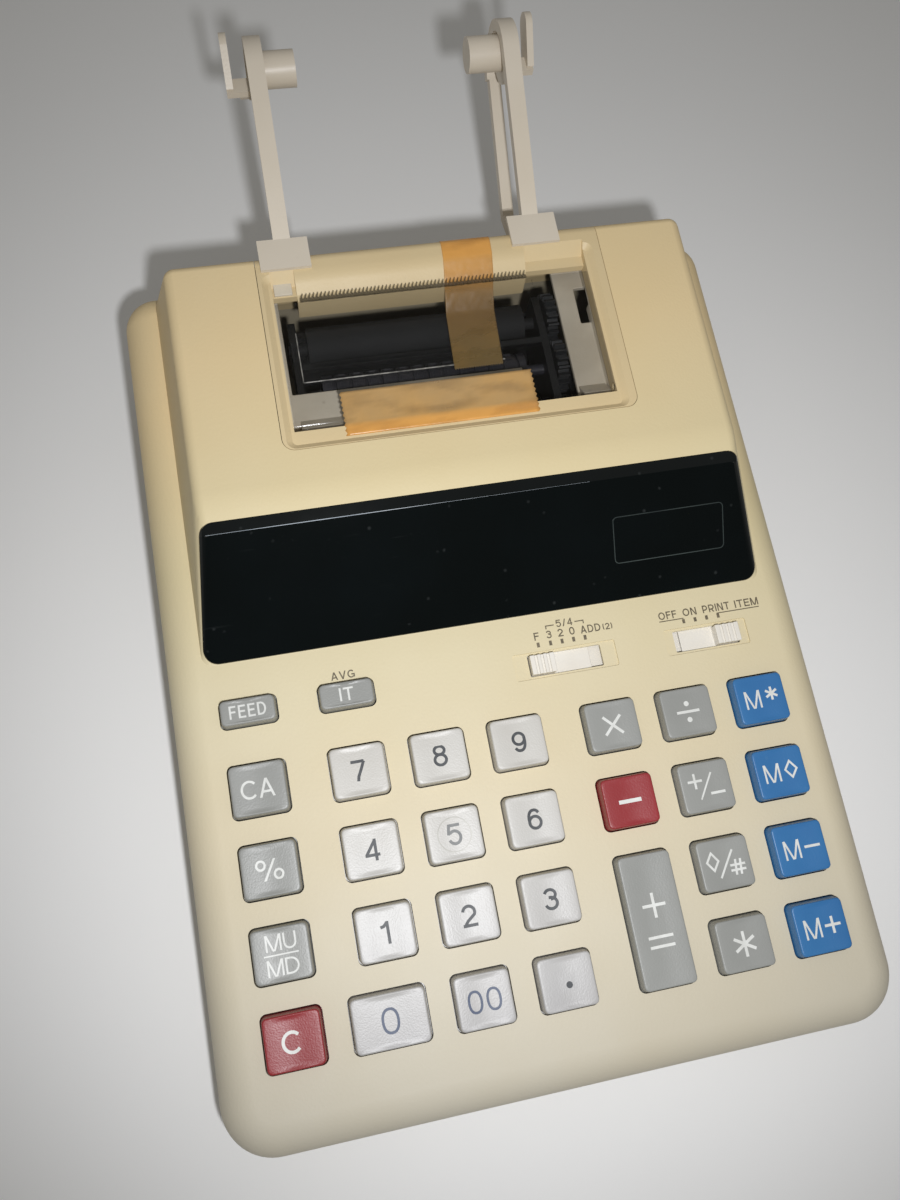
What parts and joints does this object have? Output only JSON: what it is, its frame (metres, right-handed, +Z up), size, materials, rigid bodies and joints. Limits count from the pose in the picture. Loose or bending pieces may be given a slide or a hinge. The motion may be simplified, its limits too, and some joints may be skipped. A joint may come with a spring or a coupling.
{
  "type": "desk calculator",
  "caption": "Printing desk calculator: sloped key panel, dark display slope, raised printer housing with a smoked flap and tear edge, and two clip-on paper roll arms.",
  "frame": {"origin": "on the desk under the middle of the whole object, paper arms included", "axes": "+Z up, +Y to the rear where the paper arms stand, +X to the right of someone at the keys"},
  "size_m": [0.167, 0.265, 0.0885],
  "materials": {
    "case_cream": "fine-grained moulded ABS",
    "case_lower": "moulded ABS",
    "lens_black": "glossy tinted acrylic",
    "display_pcb": "glass tube on a board",
    "smoked_clear": "clear smoked acrylic",
    "tray_plastic": "moulded ABS",
    "frame_black": "black moulded plastic",
    "roller_rubber": "ground rubber",
    "gear_plastic": "acetal",
    "drum_plastic": "moulded type rings",
    "ink_foam": "ink-soaked foam",
    "steel": "bright",
    "board_green": "solder-masked board",
    "mat_rubber": "silicone",
    "arm_plastic": "satin ABS",
    "slider_plastic": "satin ABS",
    "foot_rubber": "matt",
    "tape": "clear adhesive tape, aged orange",
    "key_white": "satin moulded",
    "key_grey": "satin moulded",
    "key_red": "satin moulded",
    "key_blue": "satin moulded"
  },
  "bodies": {
    "case": {"lower_case": "case_lower", "upper_case": "case_cream", "display_lens": "lens_black", "display_module": "display_pcb", "printer_cover": "case_cream", "printer_tray": "tray_plastic", "printer_frame": "frame_black", "ink_guard": "smoked_clear", "printer_motor": "steel", "main_board": "board_green", "key_mat": "mat_rubber", "switch_bodies": "frame_black", "battery_contacts": "steel", "adaptor_inlet": "frame_black", "feet": "foot_rubber", "case_screws": "steel", "rear_tape": "tape", "front_tape_frame": "tape"},
    "window": {"cover_window": "smoked_clear", "front_tape_window": "tape"},
    "platen": {"platen_roller": "roller_rubber", "platen_gear": "gear_plastic"},
    "drum": {"print_drum": "drum_plastic", "drum_gear": "gear_plastic"},
    "pinion": {"motor_pinion": "steel"},
    "inker": {"ink_roller": "ink_foam"},
    "left_arm": {"left_paper_arm": "arm_plastic"},
    "right_arm": {"right_paper_arm": "arm_plastic"},
    "battery_lid": {"battery_cover": "case_lower"},
    "decimal_switch": {"decimal_slider": "slider_plastic"},
    "mode_switch": {"mode_slider": "slider_plastic"},
    "key_feed_body": {"key_feed": "key_grey"},
    "key_it_body": {"key_it": "key_grey"},
    "key_ca_body": {"key_ca": "key_grey"},
    "key_percent_body": {"key_percent": "key_grey"},
    "key_mumd_body": {"key_mumd": "key_grey"},
    "key_c_body": {"key_c": "key_red"},
    "key_7_body": {"key_7": "key_white"},
    "key_8_body": {"key_8": "key_white"},
    "key_9_body": {"key_9": "key_white"},
    "key_4_body": {"key_4": "key_white"},
    "key_5_body": {"key_5": "key_white"},
    "key_6_body": {"key_6": "key_white"},
    "key_1_body": {"key_1": "key_white"},
    "key_2_body": {"key_2": "key_white"},
    "key_3_body": {"key_3": "key_white"},
    "key_0_body": {"key_0": "key_white"},
    "key_00_body": {"key_00": "key_white"},
    "key_point_body": {"key_point": "key_white"},
    "key_times_body": {"key_times": "key_grey"},
    "key_minus_body": {"key_minus": "key_red"},
    "key_plus_body": {"key_plus": "key_grey"},
    "key_divide_body": {"key_divide": "key_grey"},
    "key_sign_body": {"key_sign": "key_grey"},
    "key_subtotal_body": {"key_subtotal": "key_grey"},
    "key_total_body": {"key_total": "key_grey"},
    "key_m_total_body": {"key_m_total": "key_blue"},
    "key_m_subtotal_body": {"key_m_subtotal": "key_blue"},
    "key_m_minus_body": {"key_m_minus": "key_blue"},
    "key_m_plus_body": {"key_m_plus": "key_blue"}
  },
  "joints": [
    {"name": "window_hinge", "type": "hinge", "parent": "case", "child": "window", "pos_m": [-0.00095, 0.03123, 0.05706], "axis": [1, 0, 0], "range_deg": [0, 95]},
    {"name": "platen_spin", "type": "hinge", "parent": "case", "child": "platen", "pos_m": [-0.006, 0.0601, 0.04742], "axis": [1, 0, 0], "continuous": true},
    {"name": "drum_spin", "type": "hinge", "parent": "case", "child": "drum", "pos_m": [-0.006, 0.04607, 0.04595], "axis": [1, 0, 0], "continuous": true},
    {"name": "pinion_spin", "type": "hinge", "parent": "case", "child": "pinion", "pos_m": [0.03, 0.04262, 0.03593], "axis": [1, 0, 0], "continuous": true},
    {"name": "ink_spin", "type": "hinge", "parent": "case", "child": "inker", "pos_m": [-0.006, 0.03583, 0.04487], "axis": [1, 0, 0], "continuous": true},
    {"name": "left_arm_slide", "type": "slide", "parent": "case", "child": "left_arm", "axis": [0, 0.9945, 0.1045], "range_m": [0, 0.008]},
    {"name": "right_arm_slide", "type": "slide", "parent": "case", "child": "right_arm", "axis": [0, 0.9945, 0.1045], "range_m": [0, 0.008]},
    {"name": "battery_lid_slide", "type": "slide", "parent": "case", "child": "battery_lid", "axis": [0, -1, 0], "range_m": [0, 0.006]},
    {"name": "decimal_slide", "type": "slide", "parent": "case", "child": "decimal_switch", "axis": [1, 0, 0], "range_m": [0, 0.0126]},
    {"name": "mode_slide", "type": "slide", "parent": "case", "child": "mode_switch", "axis": [-1, 0, 0], "range_m": [0, 0.0099]},
    {"name": "key_feed_press", "type": "slide", "parent": "case", "child": "key_feed_body", "axis": [0, 0.1045, -0.9945], "range_m": [0, 0.0025], "stiffness_N_per_m": 200, "springref_m": -0.0005},
    {"name": "key_it_press", "type": "slide", "parent": "case", "child": "key_it_body", "axis": [0, 0.1045, -0.9945], "range_m": [0, 0.0025], "stiffness_N_per_m": 200, "springref_m": -0.0005},
    {"name": "key_ca_press", "type": "slide", "parent": "case", "child": "key_ca_body", "axis": [0, 0.1045, -0.9945], "range_m": [0, 0.0025], "stiffness_N_per_m": 200, "springref_m": -0.0005},
    {"name": "key_percent_press", "type": "slide", "parent": "case", "child": "key_percent_body", "axis": [0, 0.1045, -0.9945], "range_m": [0, 0.0025], "stiffness_N_per_m": 200, "springref_m": -0.0005},
    {"name": "key_mumd_press", "type": "slide", "parent": "case", "child": "key_mumd_body", "axis": [0, 0.1045, -0.9945], "range_m": [0, 0.0025], "stiffness_N_per_m": 200, "springref_m": -0.0005},
    {"name": "key_c_press", "type": "slide", "parent": "case", "child": "key_c_body", "axis": [0, 0.1045, -0.9945], "range_m": [0, 0.0025], "stiffness_N_per_m": 200, "springref_m": -0.0005},
    {"name": "key_7_press", "type": "slide", "parent": "case", "child": "key_7_body", "axis": [0, 0.1045, -0.9945], "range_m": [0, 0.0025], "stiffness_N_per_m": 200, "springref_m": -0.0005},
    {"name": "key_8_press", "type": "slide", "parent": "case", "child": "key_8_body", "axis": [0, 0.1045, -0.9945], "range_m": [0, 0.0025], "stiffness_N_per_m": 200, "springref_m": -0.0005},
    {"name": "key_9_press", "type": "slide", "parent": "case", "child": "key_9_body", "axis": [0, 0.1045, -0.9945], "range_m": [0, 0.0025], "stiffness_N_per_m": 200, "springref_m": -0.0005},
    {"name": "key_4_press", "type": "slide", "parent": "case", "child": "key_4_body", "axis": [0, 0.1045, -0.9945], "range_m": [0, 0.0025], "stiffness_N_per_m": 200, "springref_m": -0.0005},
    {"name": "key_5_press", "type": "slide", "parent": "case", "child": "key_5_body", "axis": [0, 0.1045, -0.9945], "range_m": [0, 0.0025], "stiffness_N_per_m": 200, "springref_m": -0.0005},
    {"name": "key_6_press", "type": "slide", "parent": "case", "child": "key_6_body", "axis": [0, 0.1045, -0.9945], "range_m": [0, 0.0025], "stiffness_N_per_m": 200, "springref_m": -0.0005},
    {"name": "key_1_press", "type": "slide", "parent": "case", "child": "key_1_body", "axis": [0, 0.1045, -0.9945], "range_m": [0, 0.0025], "stiffness_N_per_m": 200, "springref_m": -0.0005},
    {"name": "key_2_press", "type": "slide", "parent": "case", "child": "key_2_body", "axis": [0, 0.1045, -0.9945], "range_m": [0, 0.0025], "stiffness_N_per_m": 200, "springref_m": -0.0005},
    {"name": "key_3_press", "type": "slide", "parent": "case", "child": "key_3_body", "axis": [0, 0.1045, -0.9945], "range_m": [0, 0.0025], "stiffness_N_per_m": 200, "springref_m": -0.0005},
    {"name": "key_0_press", "type": "slide", "parent": "case", "child": "key_0_body", "axis": [0, 0.1045, -0.9945], "range_m": [0, 0.0025], "stiffness_N_per_m": 200, "springref_m": -0.0005},
    {"name": "key_00_press", "type": "slide", "parent": "case", "child": "key_00_body", "axis": [0, 0.1045, -0.9945], "range_m": [0, 0.0025], "stiffness_N_per_m": 200, "springref_m": -0.0005},
    {"name": "key_point_press", "type": "slide", "parent": "case", "child": "key_point_body", "axis": [0, 0.1045, -0.9945], "range_m": [0, 0.0025], "stiffness_N_per_m": 200, "springref_m": -0.0005},
    {"name": "key_times_press", "type": "slide", "parent": "case", "child": "key_times_body", "axis": [0, 0.1045, -0.9945], "range_m": [0, 0.0025], "stiffness_N_per_m": 200, "springref_m": -0.0005},
    {"name": "key_minus_press", "type": "slide", "parent": "case", "child": "key_minus_body", "axis": [0, 0.1045, -0.9945], "range_m": [0, 0.0025], "stiffness_N_per_m": 200, "springref_m": -0.0005},
    {"name": "key_plus_press", "type": "slide", "parent": "case", "child": "key_plus_body", "axis": [0, 0.1045, -0.9945], "range_m": [0, 0.0025], "stiffness_N_per_m": 200, "springref_m": -0.0005},
    {"name": "key_divide_press", "type": "slide", "parent": "case", "child": "key_divide_body", "axis": [0, 0.1045, -0.9945], "range_m": [0, 0.0025], "stiffness_N_per_m": 200, "springref_m": -0.0005},
    {"name": "key_sign_press", "type": "slide", "parent": "case", "child": "key_sign_body", "axis": [0, 0.1045, -0.9945], "range_m": [0, 0.0025], "stiffness_N_per_m": 200, "springref_m": -0.0005},
    {"name": "key_subtotal_press", "type": "slide", "parent": "case", "child": "key_subtotal_body", "axis": [0, 0.1045, -0.9945], "range_m": [0, 0.0025], "stiffness_N_per_m": 200, "springref_m": -0.0005},
    {"name": "key_total_press", "type": "slide", "parent": "case", "child": "key_total_body", "axis": [0, 0.1045, -0.9945], "range_m": [0, 0.0025], "stiffness_N_per_m": 200, "springref_m": -0.0005},
    {"name": "key_m_total_press", "type": "slide", "parent": "case", "child": "key_m_total_body", "axis": [0, 0.1045, -0.9945], "range_m": [0, 0.0025], "stiffness_N_per_m": 200, "springref_m": -0.0005},
    {"name": "key_m_subtotal_press", "type": "slide", "parent": "case", "child": "key_m_subtotal_body", "axis": [0, 0.1045, -0.9945], "range_m": [0, 0.0025], "stiffness_N_per_m": 200, "springref_m": -0.0005},
    {"name": "key_m_minus_press", "type": "slide", "parent": "case", "child": "key_m_minus_body", "axis": [0, 0.1045, -0.9945], "range_m": [0, 0.0025], "stiffness_N_per_m": 200, "springref_m": -0.0005},
    {"name": "key_m_plus_press", "type": "slide", "parent": "case", "child": "key_m_plus_body", "axis": [0, 0.1045, -0.9945], "range_m": [0, 0.0025], "stiffness_N_per_m": 200, "springref_m": -0.0005}
  ],
  "couplings": [
    {"joint": "drum_spin", "follows": "platen_spin", "ratio": -1},
    {"joint": "pinion_spin", "follows": "platen_spin", "ratio": 2}
  ]
}
